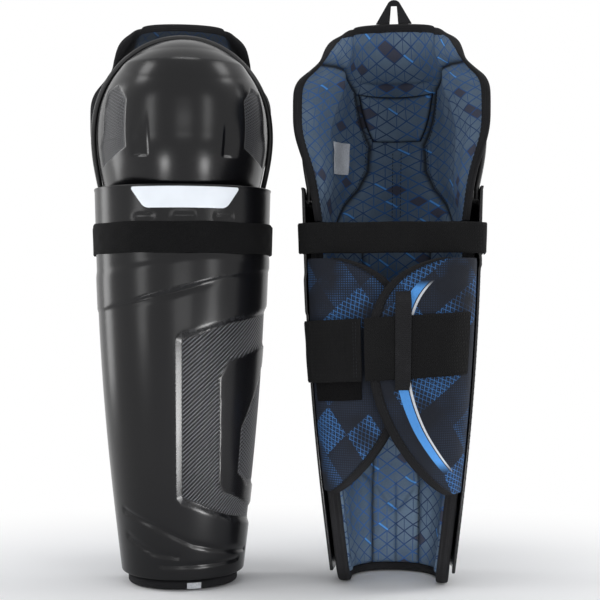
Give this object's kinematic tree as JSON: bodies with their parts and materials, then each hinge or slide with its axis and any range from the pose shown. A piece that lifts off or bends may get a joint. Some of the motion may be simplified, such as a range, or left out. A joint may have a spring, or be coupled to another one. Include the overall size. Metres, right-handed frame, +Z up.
{
  "type": "hockey shin guards",
  "caption": "Pair of moulded hockey shin guards with hinged knee caps, quilted liners, wrap-around calf flaps and hook-and-loop straps.",
  "frame": {"origin": "centre of the footprint of the pair, on the floor the hems stand on", "axes": "+Z up along the leg; the right guard faces -Y, the left guard faces +Y; +X runs from the right guard to the left guard"},
  "size_m": [0.3366, 0.1624, 0.4863],
  "materials": {
    "shell": "gloss",
    "trim": "satin",
    "plate": "satin",
    "foam": "matte",
    "liner": "matte",
    "flap": "matte",
    "tape": "matte",
    "webbing": "matte",
    "loop_webbing": "matte",
    "hook": "matte",
    "label": "matte"
  },
  "bodies": {
    "right_shin": {"right_shin_shell": "shell", "right_shin_foam": "foam", "right_shin_liner": "liner", "right_hem": "tape", "right_name_plate": "plate", "right_strap_front": "loop_webbing", "right_hem_tag": "label"},
    "right_knee": {"right_knee_cap": "shell", "right_knee_trim": "trim", "right_knee_foam": "foam", "right_knee_liner": "liner", "right_knee_binding": "tape", "right_knee_pad": "liner", "right_pull_loop": "webbing", "right_size_label": "label"},
    "right_outer_wrap": {"right_outer_flap": "flap", "right_outer_binding": "tape", "right_calf_strap": "webbing", "right_strap_keeper": "webbing"},
    "right_tab": {"right_strap_tab": "webbing", "right_tab_hook": "hook"},
    "right_inner_wrap": {"right_inner_flap": "flap", "right_inner_binding": "tape", "right_loop_patch": "loop_webbing"},
    "right_upper_strap": {"right_strap_back": "webbing", "right_hook_end": "webbing"},
    "left_shin": {"left_shin_shell": "shell", "left_shin_foam": "foam", "left_shin_liner": "liner", "left_hem": "tape", "left_name_plate": "plate", "left_strap_front": "loop_webbing", "left_hem_tag": "label"},
    "left_knee": {"left_knee_cap": "shell", "left_knee_trim": "trim", "left_knee_foam": "foam", "left_knee_liner": "liner", "left_knee_binding": "tape", "left_knee_pad": "liner", "left_pull_loop": "webbing", "left_size_label": "label"},
    "left_outer_wrap": {"left_outer_flap": "flap", "left_outer_binding": "tape", "left_calf_strap": "webbing", "left_strap_keeper": "webbing"},
    "left_tab": {"left_strap_tab": "webbing", "left_tab_hook": "hook"},
    "left_inner_wrap": {"left_inner_flap": "flap", "left_inner_binding": "tape", "left_loop_patch": "loop_webbing"},
    "left_upper_strap": {"left_strap_back": "webbing", "left_hook_end": "webbing"}
  },
  "joints": [
    {"name": "right_knee_flex", "type": "hinge", "parent": "right_shin", "child": "right_knee", "pos_m": [-0.07625, -0.06064, 0.326], "axis": [0.9925, 0.1219, 0], "range_deg": [0, 12]},
    {"name": "right_outer_wrap_swing", "type": "hinge", "parent": "right_shin", "child": "right_outer_wrap", "pos_m": [-0.02437, 0.0422, 0.17323], "axis": [-0.0658, -0.0327, -0.9973], "range_deg": [0, 80]},
    {"name": "right_inner_wrap_swing", "type": "hinge", "parent": "right_shin", "child": "right_inner_wrap", "pos_m": [-0.15147, 0.02659, 0.17323], "axis": [-0.0718, 0.0158, 0.9973], "range_deg": [0, 56]},
    {"name": "right_tab_peel", "type": "hinge", "parent": "right_outer_wrap", "child": "right_tab", "pos_m": [-0.11258, 0.06563, 0.19467], "axis": [0, 0, -1], "range_deg": [0, 95]},
    {"name": "right_upper_strap_swing", "type": "hinge", "parent": "right_shin", "child": "right_upper_strap", "pos_m": [-0.16409, 0.02798, 0.284], "axis": [0, 0, 1], "range_deg": [0, 105]},
    {"name": "left_knee_flex", "type": "hinge", "parent": "left_shin", "child": "left_knee", "pos_m": [0.10075, 0.06064, 0.326], "axis": [-0.9925, 0.1219, 0], "range_deg": [0, 12]},
    {"name": "left_outer_wrap_swing", "type": "hinge", "parent": "left_shin", "child": "left_outer_wrap", "pos_m": [0.15263, -0.0422, 0.17323], "axis": [0.0658, -0.0327, 0.9973], "range_deg": [0, 80]},
    {"name": "left_inner_wrap_swing", "type": "hinge", "parent": "left_shin", "child": "left_inner_wrap", "pos_m": [0.02552, -0.02659, 0.17323], "axis": [0.0718, 0.0158, -0.9973], "range_deg": [0, 56]},
    {"name": "left_tab_peel", "type": "hinge", "parent": "left_outer_wrap", "child": "left_tab", "pos_m": [0.06442, -0.06563, 0.19467], "axis": [0, 0, 1], "range_deg": [0, 95]},
    {"name": "left_upper_strap_swing", "type": "hinge", "parent": "left_shin", "child": "left_upper_strap", "pos_m": [0.01291, -0.02798, 0.284], "axis": [0, 0, -1], "range_deg": [0, 105]},
    {"name": "left_guard_lift", "type": "slide", "parent": "right_shin", "child": "left_shin", "axis": [0, 0, 1], "range_m": [0, 0.3]}
  ],
  "couplings": [
    {"joint": "right_inner_wrap_swing", "follows": "right_outer_wrap_swing", "ratio": 0.7},
    {"joint": "left_inner_wrap_swing", "follows": "left_outer_wrap_swing", "ratio": 0.7}
  ]
}
